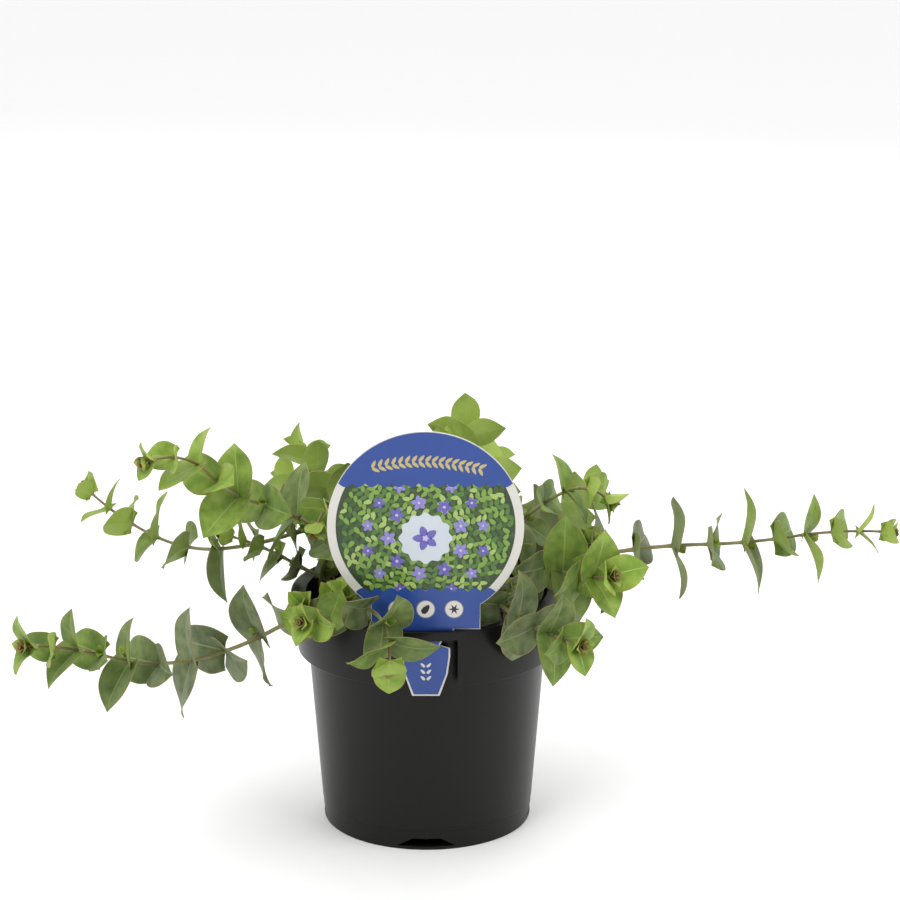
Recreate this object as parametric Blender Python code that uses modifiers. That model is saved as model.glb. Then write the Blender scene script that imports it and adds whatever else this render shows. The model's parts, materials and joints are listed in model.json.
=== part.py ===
"""A potted trailing speedwell: nursery pot, potting mix, woody crown, tag, bare boughs and leafy shoots.

Metres, +Z up. The origin is the centre of the pot's underside and the tag faces -Y. Every shoot
starts on the crown and turns on its way outwards. Its bare foot is a bough, and its leafy rest is
one mass: a stem with pairs of clasping leaves, each pair turned a quarter from the last.
"""

import collections
import math
import random

import bmesh
import bpy
from mathutils import Matrix, Vector
from mathutils.bvhtree import BVHTree

MM = 0.001
GAP = 0.3 * MM

# Pot: a tapering body with a skirted rim, which carries the tag in a slot at the front.
POT_HEIGHT = 127 * MM
POT_STEPS = 48
BODY_TOP_RADIUS = 65.8 * MM
BODY_FOOT_RADIUS = 55.8 * MM
WALL = 1.5 * MM
FLOOR = 1.8 * MM
LIP_RADIUS = 72.5 * MM
SKIRT_FOOT_RADIUS = 69.0 * MM
SKIRT_FOOT_HEIGHT = 95.5 * MM
LEDGE = 1.6 * MM
WINDOW_WIDTH = 32.8 * MM
WINDOW_TOP = 121.8 * MM
WINDOW_DEPTH = 12 * MM
WINDOW_LEAN = math.radians(4.5)
SLOT_WIDTH = 34 * MM
SLOT_Y = (-69.2 * MM, -66.4 * MM)
DRAINS = 4
DRAIN_TOP = 6.5 * MM
DRAIN_TOP_WIDTH = 15 * MM
DRAIN_FOOT_WIDTH = 31 * MM
FIN_WIDTH = 1.2 * MM
FIN_TOP = 13 * MM
FIN_REACH = 8.5 * MM

# Potting mix, with a chamfered foot behind the drain holes.
SOIL_TOP = 110 * MM
SOIL_CHAMFER_TOP = 16 * MM
SOIL_CHAMFER = 10 * MM

# Woody crown: a dome on a flared foot, cut flat at ground level.
CROWN_RADIUS = 9 * MM
CROWN_CENTRE = 114 * MM
CROWN_FLARE = 11.5 * MM

# Tag: a disc on a panel, whose neck drops through the slot to a barbed stake.
TAG_Y = -67.6 * MM
TAG_THICKNESS = 0.8 * MM
DISC_RADIUS = 50 * MM
DISC_CENTRE = 182 * MM
DISC_STEPS = 36
PANEL_HALF = 27.9 * MM
NECK_HALF = 14.5 * MM
STAKE = ((9.4, 122.5), (7.2, 118.6), (12.5, 116.8), (12.5, 112.5), (11.2, 103), (7.1, 91))

# Stems and leaves.
BOUGH_RADIUS = 1.4 * MM
STEM_RADIUS = 1.2 * MM
TIP_RADIUS = 0.6 * MM
ROUTE_STEP = 1.5 * MM
TUBE_STEP = 10 * MM
FIRST_PAIR = 5 * MM
LAST_PAIR = 2.5 * MM
CROWDING = 0.3
LEAF_WIDTH = 0.86
LEAF_THICKNESS = 0.032
LEAF_ROOT = -0.01
LEAF_STATIONS = ((0.0, 0.55), (0.36, 1.0))
LEAF_TRIES = ((0, 1), (14, 1), (-14, 1), (0, 0.8), (28, 0.85), (-28, 0.85), (0, 0.62), (40, 0.62))

Shoot = collections.namedtuple("Shoot", "name length headings climbs bare pairs roll leaf tip")

# Lengths and leaf sizes are in millimetres, directions in degrees: the way that the shoot heads
# and climbs at even steps along it. bare is the share without leaves, and roll turns its first pair.
SHOOTS = (
    Shoot("left_low", 242, (-132, -147, -145, -139), (26, 5, -17, 1, 26, 12), 0.32, 10, 0, 31, 17),
    Shoot("right_long", 242, (8, -7, -9, -8), (40, 7, 12, 4, 12, -1), 0.34, 10, 90, 31, 14),
    Shoot("left_high", 182, (190, 193, 223, 209), (40, 45, 31, 23, 49, -12), 0.3, 8, 0, 31, 13),
    Shoot("left_mid", 202, (150, 187, 164, 171), (20, 55, -19, -8, 24, 43), 0.36, 8, 90, 28, 15),
    Shoot("left_short", 105, (172, 174, 174, 174), (10, 21, 29, 14), 0.42, 6, 90, 25, 11),
    Shoot("top_left", 120, (143, 138, 132, 121), (56, 34, 19, 34), 0.4, 6, 0, 27, 14),
    Shoot("inner_left", 95, (-142, -150, -160, -121), (50, 48, 60, 47, -75), 0.5, 4, 0, 23, 12),
    Shoot("front_mid", 127, (-110, -157, -32, -99), (34, 0, 7, 30, -32, -50), 0.66, 4, 0, 27, 20),
    Shoot("front_left", 109, (-100, -136, -125, -124), (6, 24, 6, 15), 0.52, 5, 90, 27, 14),
    Shoot("front_right", 128, (-52, -56, -56, -53), (30, 22, -13, 1, 3), 0.44, 6, 0, 28, 19),
    Shoot("right_mid", 118, (-14, -19, -53, -44), (18, 53, 2, 4, 16), 0.42, 6, 90, 30, 24),
    Shoot("right_top", 124, (54, 11, -22, -17), (12, 38, 50, 42, 29, -42), 0.5, 5, 90, 24, 16),
    Shoot("top_back", 107, (58, 72, 72, 92), (62, 59, 33, 36), 0.5, 5, 90, 25, 20),
    Shoot("back_long", 215, (80, 82, 78, 80), (20, 20, -8, -4, 12), 0.34, 9, 0, 30, 15),
    Shoot("back_trail", 190, (103, 98, 102, 99), (20, 24, -16, -6, 18), 0.38, 8, 90, 29, 14),
    Shoot("back_right", 135, (30, 46, 55, 58), (26, 14, 10, 22), 0.4, 6, 0, 28, 15),
    Shoot("back_left", 145, (127, 124, 120, 126), (16, 20, 6, 20), 0.4, 7, 90, 28, 14),
    Shoot("back_up", 95, (110, 100, 60, 80), (82, 60, 40, 20), 0.42, 5, 0, 26, 14),
)


def clear_scene():
    for thing in list(bpy.data.objects):
        bpy.data.objects.remove(thing)


def new_collection(name):
    collection = bpy.data.collections.new(name)
    bpy.context.scene.collection.children.link(collection)
    return collection


def new_material(name, colour, roughness, metallic=0.0):
    material = bpy.data.materials.new(name)
    material.use_nodes = True
    shader = material.node_tree.nodes["Principled BSDF"]
    shader.inputs["Base Color"].default_value = (*colour, 1)
    shader.inputs["Roughness"].default_value = roughness
    shader.inputs["Metallic"].default_value = metallic
    material.diffuse_color = (*colour, 1)
    return material


def add_object(name, data, collection, material=None):
    thing = bpy.data.objects.new(name, data)
    collection.objects.link(thing)
    if material:
        data.materials.append(material)
    return thing


def body_radius(height):
    """Outer radius of the pot's body at a height."""
    return BODY_FOOT_RADIUS + (BODY_TOP_RADIUS - BODY_FOOT_RADIUS) * height / POT_HEIGHT


def inner_radius(height):
    return body_radius(height) - WALL


def turned(name, profile, steps, collection, material):
    """A solid of revolution about Z from (radius, height) points, its outer side from top to bottom."""
    mesh = bpy.data.meshes.new(name)
    points = [(radius, 0, height) for radius, height in profile]
    mesh.from_pydata(points, [(i, i + 1) for i in range(len(points) - 1)], [])
    thing = add_object(name, mesh, collection, material)
    screw = thing.modifiers.new("Turn", "SCREW")
    screw.steps = steps
    screw.render_steps = steps
    screw.use_merge_vertices = True
    screw.merge_threshold = 0.00001
    screw.use_smooth_shade = True
    return thing


def prism(name, outline, thickness, collection):
    """A closed prism: an outline in the XZ plane, extruded evenly to both sides of it along Y."""
    shape = bmesh.new()
    front = [shape.verts.new((x, -thickness / 2, z)) for x, z in outline]
    face = shape.faces.new(front)
    pushed = bmesh.ops.extrude_face_region(shape, geom=[face])
    moved = [item for item in pushed["geom"] if isinstance(item, bmesh.types.BMVert)]
    bmesh.ops.translate(shape, verts=moved, vec=(0, thickness, 0))
    bmesh.ops.recalc_face_normals(shape, faces=shape.faces)
    mesh = bpy.data.meshes.new(name)
    shape.to_mesh(mesh)
    shape.free()
    return add_object(name, mesh, collection)


def join_or_cut(thing, name, operation, collection):
    boolean = thing.modifiers.new(name, "BOOLEAN")
    boolean.operation = operation
    boolean.operand_type = "COLLECTION"
    boolean.collection = collection


def hide_helpers(collection):
    for helper in collection.objects:
        helper.hide_render = True
        helper.display_type = "WIRE"


def make_pot(parts, material):
    profile = [
        (0, FLOOR),
        (inner_radius(FLOOR), FLOOR),
        (inner_radius(POT_HEIGHT), POT_HEIGHT),
        (LIP_RADIUS, POT_HEIGHT),
        (SKIRT_FOOT_RADIUS, SKIRT_FOOT_HEIGHT),
        (SKIRT_FOOT_RADIUS - WALL, SKIRT_FOOT_HEIGHT),
        (LIP_RADIUS - WALL, POT_HEIGHT - LEDGE),
        (body_radius(POT_HEIGHT - LEDGE), POT_HEIGHT - LEDGE),
        (BODY_FOOT_RADIUS, 0),
        (0, 0),
    ]
    pot = turned("pot", profile, POT_STEPS, parts, material)

    cutters = new_collection("pot_cutters")
    half = WINDOW_WIDTH / 2
    window_face = [(-half, -40 * MM), (half, -40 * MM), (half, 0), (-half, 0)]
    window = prism("window_cutter", window_face, WINDOW_DEPTH, cutters)
    window.location = (0, -66.2 * MM - WINDOW_DEPTH / 2, WINDOW_TOP)
    window.rotation_euler = (WINDOW_LEAN, 0, 0)
    half = SLOT_WIDTH / 2
    slot_face = [(-half, POT_HEIGHT - 4 * MM), (half, POT_HEIGHT - 4 * MM)]
    slot_face += [(half, POT_HEIGHT + 2 * MM), (-half, POT_HEIGHT + 2 * MM)]
    slot = prism("slot_cutter", slot_face, SLOT_Y[1] - SLOT_Y[0], cutters)
    slot.location = (0, sum(SLOT_Y) / 2, 0)

    fins = new_collection("pot_fins")
    for index in range(DRAINS):
        turn = math.tau * index / DRAINS
        wide, narrow = DRAIN_FOOT_WIDTH / 2, DRAIN_TOP_WIDTH / 2
        foot = FLOOR + 0.1 * MM
        hole_face = [(-wide, foot), (wide, foot), (narrow, DRAIN_TOP), (-narrow, DRAIN_TOP)]
        hole = prism(f"drain_cutter_{index}", hole_face, 7 * MM, cutters)
        hole.matrix_world = Matrix.Rotation(turn, 4, "Z") @ Matrix.Translation((0, -54.5 * MM, 0))
        edge = inner_radius(FIN_TOP) + 0.5 * MM
        fin_face = [(edge, FIN_TOP), (edge, FIN_TOP - 6 * MM), (edge - FIN_REACH + 2 * MM, FLOOR - 0.3 * MM)]
        fin_face += [(edge - FIN_REACH, FLOOR - 0.3 * MM)]
        fin = prism(f"fin_{index}", fin_face, FIN_WIDTH, fins)
        fin.rotation_euler = (0, 0, turn - math.pi / 2)
    join_or_cut(pot, "Openings", "DIFFERENCE", cutters)
    join_or_cut(pot, "Fins", "UNION", fins)
    hide_helpers(cutters)
    hide_helpers(fins)
    return pot


def make_soil(parts, material):
    foot = FLOOR + GAP
    profile = [
        (0, SOIL_TOP),
        (inner_radius(SOIL_TOP) - 2 * GAP, SOIL_TOP),
        (inner_radius(SOIL_CHAMFER_TOP) - 2 * GAP, SOIL_CHAMFER_TOP),
        (inner_radius(foot) - SOIL_CHAMFER, foot),
        (0, foot),
    ]
    return turned("potting_soil", profile, POT_STEPS, parts, material)


def make_crown(parts, material):
    foot = SOIL_TOP + GAP
    arc = [math.radians(angle) for angle in (90, 66, 44, 22, 0)]
    profile = [(CROWN_RADIUS * math.cos(a), CROWN_CENTRE + CROWN_RADIUS * math.sin(a)) for a in arc]
    profile[0] = (0, CROWN_CENTRE + CROWN_RADIUS)
    profile += [(CROWN_FLARE, foot + 0.6 * MM), (CROWN_FLARE, foot), (0, foot)]
    return turned("crown", profile, 24, parts, material)


def tag_outline():
    """Half of the tag's outline from the neck down, mirrored, with the disc's arc between."""
    start = math.asin(-math.sqrt(DISC_RADIUS**2 - PANEL_HALF**2) / DISC_RADIUS)
    angles = [start + (math.pi - 2 * start) * i / DISC_STEPS for i in range(DISC_STEPS + 1)]
    disc = [(DISC_RADIUS * math.cos(a), DISC_CENTRE + DISC_RADIUS * math.sin(a)) for a in angles]
    shoulder = POT_HEIGHT + GAP
    right = [(x * MM, z * MM) for x, z in reversed(STAKE)]
    right += [(NECK_HALF, WINDOW_TOP + 2 * MM), (NECK_HALF, shoulder), (PANEL_HALF, shoulder)]
    return right + disc + [(-x, z) for x, z in reversed(right)]


def make_tag(parts, material):
    curve = bpy.data.curves.new("tag", "CURVE")
    curve.dimensions = "2D"
    curve.fill_mode = "BOTH"
    curve.extrude = TAG_THICKNESS / 2
    points = tag_outline()
    spline = curve.splines.new("POLY")
    spline.points.add(len(points) - 1)
    for point, (x, z) in zip(spline.points, points):
        point.co = (x, z, 0, 1)
    spline.use_cyclic_u = True
    tag = add_object("tag", curve, parts, material)
    tag.location = (0, TAG_Y, 0)
    tag.rotation_euler = (math.pi / 2, 0, 0)
    return tag


def between(values, share):
    """The value at a share of the way along evenly spaced values."""
    place = min(max(share, 0), 1) * (len(values) - 1)
    low = min(int(place), len(values) - 2)
    return values[low] + (values[low + 1] - values[low]) * (place - low)


def heading_vector(heading, climb):
    heading, climb = math.radians(heading), math.radians(climb)
    flat = math.cos(climb)
    return Vector((math.cos(heading) * flat, math.sin(heading) * flat, math.sin(climb)))


def shoot_route(shoot):
    """Points along a shoot, from 0.3 mm off the crown, following its headings and climbs."""
    steps = round(shoot.length * MM / ROUTE_STEP)
    start = heading_vector(shoot.headings[0], shoot.climbs[0]) * (CROWN_RADIUS + GAP)
    route = [Vector((0, 0, CROWN_CENTRE)) + start]
    for index in range(steps):
        share = (index + 0.5) / steps
        step = heading_vector(between(shoot.headings, share), between(shoot.climbs, share))
        route.append(route[-1] + step * (shoot.length * MM / steps))
    return route


def place_on(route, share):
    """Point and direction at a share of the way along a route."""
    place = min(max(share, 0), 1) * (len(route) - 1)
    low = min(int(place), len(route) - 2)
    step = route[low + 1] - route[low]
    return route[low] + step * (place - low), step.normalized()


def make_tube(name, route, first, last, radii, sides, collection):
    """A tapering tube along a share of a route, as a mesh with closed ends."""
    curve = bpy.data.curves.new(name, "CURVE")
    curve.dimensions = "3D"
    curve.bevel_depth = 1
    curve.bevel_resolution = (sides - 4) // 2
    curve.use_fill_caps = True
    length = (route[1] - route[0]).length * (len(route) - 1)
    count = max(2, round(length * (last - first) / TUBE_STEP))
    spline = curve.splines.new("POLY")
    spline.points.add(count)
    for index, point in enumerate(spline.points):
        along = index / count
        spot, _ = place_on(route, first + (last - first) * along)
        point.co = (*spot, 1)
        point.radius = radii[0] + (radii[1] - radii[0]) * along
    guide = add_object(name + "_guide", curve, collection)
    bpy.context.view_layer.update()
    graph = bpy.context.evaluated_depsgraph_get()
    mesh = bpy.data.meshes.new_from_object(guide.evaluated_get(graph))
    bpy.data.objects.remove(guide)
    shape = bmesh.new()
    shape.from_mesh(mesh)
    bmesh.ops.remove_doubles(shape, verts=shape.verts, dist=0.00001)
    bmesh.ops.recalc_face_normals(shape, faces=shape.faces)
    shape.to_mesh(mesh)
    shape.free()
    mesh.name = name
    mesh.shade_smooth()
    return add_object(name, mesh, collection)


def leaf_mesh(length, droop, cup, grow=0.0):
    """A broad clasping leaf along +X that faces +Z, thickest on its midrib and thin at its margin.

    grow widens and thickens it all over, for testing the room around it.
    """
    shape = bmesh.new()
    half_thick = length * LEAF_THICKNESS / 2 + grow

    def spot(along, side, lift):
        x = length * (along * (1 + LEAF_ROOT) - LEAF_ROOT)
        y = side * (length * LEAF_WIDTH / 2 + grow)
        z = lift - droop * length * along**2 + cup * abs(y) * (1 - along)
        return shape.verts.new((x + grow * along, y, z))

    rib_top = [spot(along, 0, half_thick) for along, _ in LEAF_STATIONS]
    rib_under = [spot(along, 0, -half_thick) for along, _ in LEAF_STATIONS]
    tip = spot(1, 0, 0)
    for side in (1, -1):
        margin = [spot(along, side * width, 0) for along, width in LEAF_STATIONS] + [tip]
        for rib, flip in ((rib_top, side < 0), (rib_under, side > 0)):
            for i in range(len(LEAF_STATIONS) - 1):
                corners = [rib[i], rib[i + 1], margin[i + 1], margin[i]]
                shape.faces.new(corners[::-1] if flip else corners)
            corners = [rib[-1], tip, margin[-2]]
            shape.faces.new(corners[::-1] if flip else corners)
        shape.faces.new([rib_top[0], margin[0], rib_under[0]])
    bmesh.ops.recalc_face_normals(shape, faces=shape.faces)
    bmesh.ops.triangulate(shape, faces=shape.faces)
    return shape


def leaf_place(spot, along, roll, lean, twist):
    """Matrix that stands a leaf on its stem: roll goes round the stem, lean tips it forward."""
    side = along.cross(Vector((0, 0, 1))).normalized()
    upright = side.cross(along)
    outward = side * math.cos(roll) + upright * math.sin(roll)
    axis = outward * math.cos(lean) + along * math.sin(lean)
    face = along * math.cos(lean) - outward * math.sin(lean)
    across = face.cross(axis)
    turn = Matrix((axis, across, face)).transposed().to_4x4()
    return Matrix.Translation(spot) @ turn @ Matrix.Rotation(twist, 4, "X")


def pair_shares(shoot):
    """Where the leaf pairs sit on a shoot, closer together towards its tip."""
    first = shoot.bare + FIRST_PAIR / (shoot.length * MM)
    last = 1 - LAST_PAIR / (shoot.length * MM)
    for index in range(shoot.pairs):
        along = index / (shoot.pairs - 1)
        yield index, along, first + (last - first) * along * (1 + CROWDING * (1 - along))


def leaves_of(shoot, route):
    """Each leaf's size, matrix maker and bend, with small seeded differences."""
    for index, along, share in pair_shares(shoot):
        spot, direction = place_on(route, share)
        size = (shoot.leaf + (shoot.tip - shoot.leaf) * along**2.2) * MM
        for half in (0, 1):
            draw = random.Random(f"{shoot.name} {index} {half}")
            roll = math.radians(shoot.roll + 90 * index + 180 * half + draw.uniform(-9, 9))
            lean = math.radians(12 + 34 * along**1.5 + draw.uniform(-8, 8))
            twist = math.radians(draw.uniform(-14, 14))
            length = size * draw.uniform(0.9, 1.06)
            droop = draw.uniform(-0.02, 0.2)
            cup = draw.uniform(0.08, 0.4)
            yield spot, direction, roll, lean, twist, length, droop, cup


def tree_of_object(thing):
    graph = bpy.context.evaluated_depsgraph_get()
    mesh = thing.evaluated_get(graph).to_mesh()
    points = [thing.matrix_world @ vertex.co for vertex in mesh.vertices]
    tree = BVHTree.FromPolygons(points, [list(face.vertices) for face in mesh.polygons])
    thing.evaluated_get(graph).to_mesh_clear()
    return tree


def make_mass(shoot, route, obstacles, parts, material):
    """The leafy part of one shoot: its stem and every leaf that finds room, joined into one solid."""
    name = f"foliage_{shoot.name}"
    gap = 2 * GAP / (shoot.length * MM)
    mass = make_tube(name, route, shoot.bare + gap, 1, (STEM_RADIUS, TIP_RADIUS), 4, parts)
    mass.data.materials.append(material)
    leaves = new_collection(name + "_leaves")
    for spot, direction, roll, lean, twist, length, droop, cup in leaves_of(shoot, route):
        for turn, shrink in LEAF_TRIES:
            place = leaf_place(spot, direction, roll + math.radians(turn), lean, twist)
            probe = leaf_mesh(length * shrink, droop, cup, grow=1.5 * GAP)
            probe.transform(place)
            room = BVHTree.FromBMesh(probe)
            probe.free()
            if any(room.overlap(other) for other in obstacles):
                continue
            shape = leaf_mesh(length * shrink, droop, cup)
            shape.transform(place)
            mesh = bpy.data.meshes.new("leaf")
            shape.to_mesh(mesh)
            shape.free()
            add_object("leaf", mesh, leaves)
            break
    join_or_cut(mass, "Leaves", "UNION", leaves)
    bpy.context.view_layer.update()
    graph = bpy.context.evaluated_depsgraph_get()
    joined = bpy.data.meshes.new_from_object(mass.evaluated_get(graph))
    mass.modifiers.clear()
    mass.data = joined
    joined.name = name
    for leaf in list(leaves.objects):
        bpy.data.objects.remove(leaf)
    bpy.data.collections.remove(leaves)
    bpy.context.view_layer.update()
    obstacles.append(tree_of_object(mass))
    return mass


def main():
    clear_scene()
    parts = new_collection("potted_speedwell")
    make_pot(parts, new_material("pot_plastic", (0.028, 0.026, 0.025), 0.45))
    make_soil(parts, new_material("potting_mix", (0.05, 0.03, 0.018), 0.95))
    make_crown(parts, new_material("woody_crown", (0.19, 0.12, 0.07), 0.85))
    make_tag(parts, new_material("tag_card", (0.05, 0.12, 0.4), 0.35))
    bark = new_material("bough_bark", (0.27, 0.2, 0.1), 0.75)
    green = new_material("leaf_green", (0.16, 0.26, 0.1), 0.5)

    routes = {shoot.name: shoot_route(shoot) for shoot in SHOOTS}
    for shoot in SHOOTS:
        radii = (BOUGH_RADIUS, STEM_RADIUS)
        bough = make_tube(f"bough_{shoot.name}", routes[shoot.name], 0, shoot.bare, radii, 6, parts)
        bough.data.materials.append(bark)
    bpy.context.view_layer.update()
    obstacles = [tree_of_object(thing) for thing in parts.objects]
    stems = {}
    for shoot in SHOOTS:
        stem = make_tube("stem", routes[shoot.name], shoot.bare, 1, (STEM_RADIUS, TIP_RADIUS), 4, parts)
        stems[shoot.name] = tree_of_object(stem)
        bpy.data.objects.remove(stem)
    for shoot in SHOOTS:
        others = [tree for name, tree in stems.items() if name != shoot.name]
        around = obstacles + others
        make_mass(shoot, routes[shoot.name], around, parts, green)
        obstacles.append(around[-1])


main()
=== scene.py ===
# %% [markdown]
# # A potted trailing speedwell
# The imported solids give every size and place. This lesson dresses them: a moulded pot, bark mix,
# a woody crown, stems with ringed nodes, clasping leaves, and a printed tag on a stake.

# %% Load the frame
import collections
import json
import math
import random

import bmesh
import bpy
from mathutils import Matrix, Vector, noise
from mathutils.bvhtree import BVHTree

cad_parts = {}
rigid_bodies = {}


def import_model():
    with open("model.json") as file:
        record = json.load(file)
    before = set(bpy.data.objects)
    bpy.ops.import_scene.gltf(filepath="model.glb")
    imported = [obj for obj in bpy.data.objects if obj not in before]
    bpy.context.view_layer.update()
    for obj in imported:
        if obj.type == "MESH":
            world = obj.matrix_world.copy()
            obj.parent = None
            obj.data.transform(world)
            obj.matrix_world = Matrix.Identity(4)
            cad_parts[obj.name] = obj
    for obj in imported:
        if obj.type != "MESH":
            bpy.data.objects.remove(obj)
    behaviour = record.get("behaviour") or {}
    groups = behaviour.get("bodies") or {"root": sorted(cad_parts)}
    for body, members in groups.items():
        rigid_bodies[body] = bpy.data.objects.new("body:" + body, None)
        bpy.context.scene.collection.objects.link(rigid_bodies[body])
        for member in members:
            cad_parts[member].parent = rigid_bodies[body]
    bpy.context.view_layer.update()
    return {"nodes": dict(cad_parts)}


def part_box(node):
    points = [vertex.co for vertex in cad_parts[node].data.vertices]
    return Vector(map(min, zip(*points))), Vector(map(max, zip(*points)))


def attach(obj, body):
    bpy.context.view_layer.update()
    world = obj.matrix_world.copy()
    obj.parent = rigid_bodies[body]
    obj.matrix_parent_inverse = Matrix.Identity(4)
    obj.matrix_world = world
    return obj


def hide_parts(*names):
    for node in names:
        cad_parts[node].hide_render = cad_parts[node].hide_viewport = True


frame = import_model()
nodes = frame["nodes"]
MM = 0.001

# %% [markdown]
# ## Camera, light and floor
# The camera stands where the photograph was taken: 1.5 m in front and above, looking down by
# 15.5 degrees through a long lens. A white room lights the plant from all round and is dim only
# where the photographer stands, so that the black pot stays dark in front. Three large soft lamps
# give shape, and the floor is plain.

# %% Camera
LOOK_DOWN = math.radians(15.5)
camera = bpy.data.objects.new("camera", bpy.data.cameras.new("camera"))
camera.data.lens = 116.5
camera.data.sensor_width = 36
camera.location = (0.0124, -1.480, 0.614)
camera.rotation_euler = (math.pi / 2 - LOOK_DOWN, 0, 0)
bpy.context.scene.collection.objects.link(camera)
bpy.context.scene.camera = camera
bpy.context.scene.view_settings.view_transform = "Standard"


# %% Light
def soft_lamp(name, place, aim, size, power):
    lamp = bpy.data.objects.new(name, bpy.data.lights.new(name, "AREA"))
    lamp.data.shape = "DISK"
    lamp.data.size = size
    lamp.data.energy = power
    lamp.location = place
    lamp.rotation_euler = (Vector(aim) - Vector(place)).to_track_quat("-Z", "Y").to_euler()
    bpy.context.scene.collection.objects.link(lamp)


PLANT = (0, 0, 0.15)
soft_lamp("key", (-0.9, -1.2, 1.5), PLANT, size=1.2, power=16)
soft_lamp("fill", (1.3, -0.8, 1.0), PLANT, size=1.4, power=8)
soft_lamp("back", (0.3, 1.4, 1.2), PLANT, size=1.4, power=8)
print("lamps:", len(bpy.data.lights))


def white_room(bright, dim):
    """A world that is bright all round, and dim in a cone where the photographer stands."""
    world = bpy.data.worlds.new("white_room")
    world.use_nodes = True
    tree = world.node_tree
    place = tree.nodes.new("ShaderNodeTexCoord")
    facing = tree.nodes.new("ShaderNodeVectorMath")
    facing.operation = "DOT_PRODUCT"
    facing.inputs[1].default_value = (0, -1, 0)
    ramp = tree.nodes.new("ShaderNodeMapRange")
    ramp.interpolation_type = "SMOOTHSTEP"
    ramp.inputs["From Min"].default_value = 0.35
    ramp.inputs["From Max"].default_value = 0.8
    ramp.inputs["To Min"].default_value = bright
    ramp.inputs["To Max"].default_value = dim
    tree.nodes["Background"].inputs["Color"].default_value = (1, 1, 1, 1)
    tree.links.new(place.outputs["Generated"], facing.inputs[0])
    tree.links.new(facing.outputs["Value"], ramp.inputs["Value"])
    tree.links.new(ramp.outputs["Result"], tree.nodes["Background"].inputs["Strength"])
    return world


bpy.context.scene.world = white_room(bright=1.12, dim=0.16)

# %% [markdown]
# ## Shared effects
# Two effects come back in many finishes. `mottle` shifts a colour between two tones in soft
# patches, as on leaves, bark and soil. `fine_relief` turns a small noise into a surface normal.
# Each is a node group, so one change reaches every material that uses it.


# %% Node groups
def new_group(name, inputs, outputs):
    group = bpy.data.node_groups.new(name, "ShaderNodeTree")
    for label, kind, value in inputs:
        socket = group.interface.new_socket(label, in_out="INPUT", socket_type=kind)
        socket.default_value = value
    for label, kind in outputs:
        group.interface.new_socket(label, in_out="OUTPUT", socket_type=kind)
    return group, group.nodes.new("NodeGroupInput"), group.nodes.new("NodeGroupOutput")


def make_mottle():
    inputs = [
        ("Tone A", "NodeSocketColor", (0.5, 0.5, 0.5, 1)),
        ("Tone B", "NodeSocketColor", (0.4, 0.4, 0.4, 1)),
        ("Scale", "NodeSocketFloat", 60.0),
        ("Contrast", "NodeSocketFloat", 1.5),
    ]
    group, start, end = new_group("mottle", inputs, [("Color", "NodeSocketColor")])
    place = group.nodes.new("ShaderNodeTexCoord")
    patches = group.nodes.new("ShaderNodeTexNoise")
    patches.inputs["Detail"].default_value = 4
    centre = group.nodes.new("ShaderNodeMath")
    centre.operation = "SUBTRACT"
    centre.inputs[1].default_value = 0.5
    spread = group.nodes.new("ShaderNodeMath")
    spread.operation = "MULTIPLY"
    raised = group.nodes.new("ShaderNodeMath")
    raised.operation = "ADD"
    raised.use_clamp = True
    raised.inputs[1].default_value = 0.5
    mix = group.nodes.new("ShaderNodeMix")
    mix.data_type = "RGBA"
    link = group.links.new
    link(place.outputs["Object"], patches.inputs["Vector"])
    link(start.outputs["Scale"], patches.inputs["Scale"])
    link(patches.outputs["Fac"], centre.inputs[0])
    link(centre.outputs[0], spread.inputs[0])
    link(start.outputs["Contrast"], spread.inputs[1])
    link(spread.outputs[0], raised.inputs[0])
    link(raised.outputs[0], mix.inputs["Factor"])
    link(start.outputs["Tone A"], mix.inputs["A"])
    link(start.outputs["Tone B"], mix.inputs["B"])
    link(mix.outputs["Result"], end.inputs["Color"])
    return group


def make_fine_relief():
    inputs = [
        ("Scale", "NodeSocketFloat", 800.0),
        ("Depth", "NodeSocketFloat", 0.0002),
        ("Strength", "NodeSocketFloat", 0.5),
    ]
    group, start, end = new_group("fine_relief", inputs, [("Normal", "NodeSocketVector")])
    place = group.nodes.new("ShaderNodeTexCoord")
    grain = group.nodes.new("ShaderNodeTexNoise")
    grain.inputs["Detail"].default_value = 3
    bump = group.nodes.new("ShaderNodeBump")
    link = group.links.new
    link(place.outputs["Object"], grain.inputs["Vector"])
    link(start.outputs["Scale"], grain.inputs["Scale"])
    link(grain.outputs["Fac"], bump.inputs["Height"])
    link(start.outputs["Depth"], bump.inputs["Distance"])
    link(start.outputs["Strength"], bump.inputs["Strength"])
    link(bump.outputs["Normal"], end.inputs["Normal"])
    return group


mottle = make_mottle()
fine_relief = make_fine_relief()


def srgb(red, green, blue):
    """A linear colour from 0 to 255 screen values."""
    def linear(value):
        share = value / 255
        return share / 12.92 if share < 0.04045 else ((share + 0.055) / 1.055) ** 2.4
    return (linear(red), linear(green), linear(blue), 1)


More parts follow.
